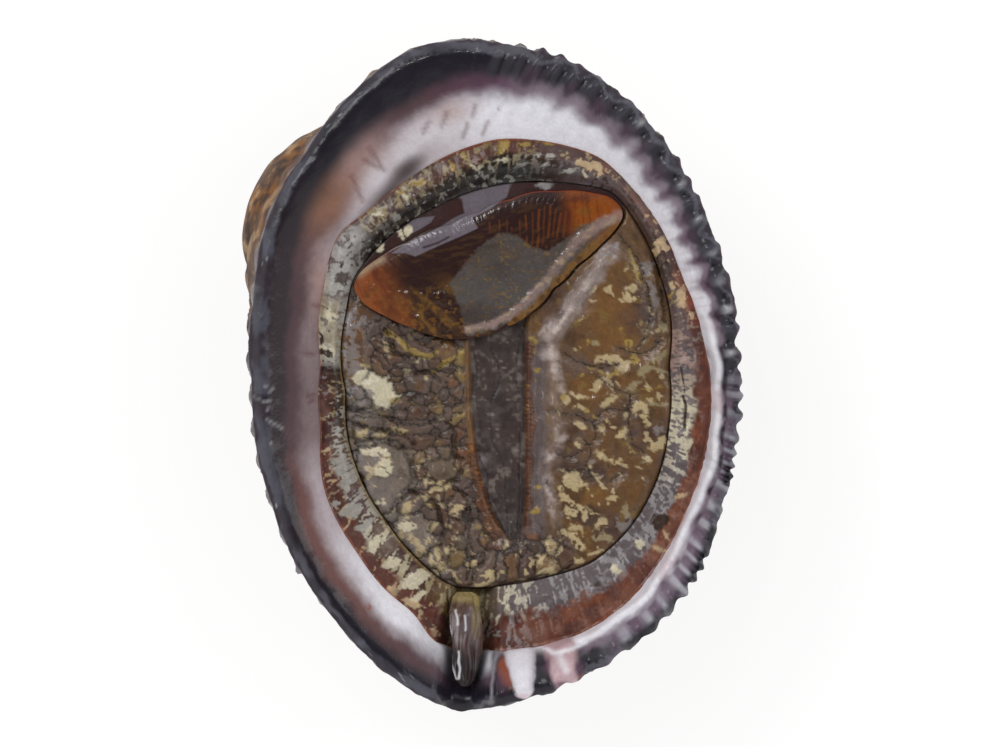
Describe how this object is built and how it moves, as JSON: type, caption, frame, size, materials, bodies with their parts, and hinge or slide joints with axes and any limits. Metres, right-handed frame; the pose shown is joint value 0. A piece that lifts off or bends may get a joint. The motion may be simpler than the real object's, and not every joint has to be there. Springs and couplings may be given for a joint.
{
  "type": "false abalone shell with its soft body",
  "caption": "Young false abalone shell on its back, opening up: flared lip with ribs, siphonal notch, small coiled spire, and its drawn-in body with mottled mantle, lobed foot and operculum",
  "frame": {"origin": "middle of the base of the object's box; the flat spot on the shell's back lies in the plane Z = 0", "axes": "+Z out of the opening, +Y along the shell's length towards the spire's end, +X towards the ribbed outer lip"},
  "size_m": [0.0139, 0.0186, 0.0075],
  "materials": {
    "shell": "hard chalky shell: glossy dark violet lip fading to white porcelain within, rough grey-brown ribbed back",
    "mantle": "wet soft skin, mottled orange-brown, cream and grey",
    "siphon": "wet soft skin, grey-brown with a pale yellow mouth",
    "foot": "wet wrinkled skin, brown with cream and yellow patches",
    "operculum": "horny plate, glossy and wet, dark brown with orange ends"
  },
  "bodies": {
    "root": {"shell": "shell", "mantle": "mantle", "siphon": "siphon", "foot": "foot", "operculum": "operculum"}
  },
  "joints": []
}
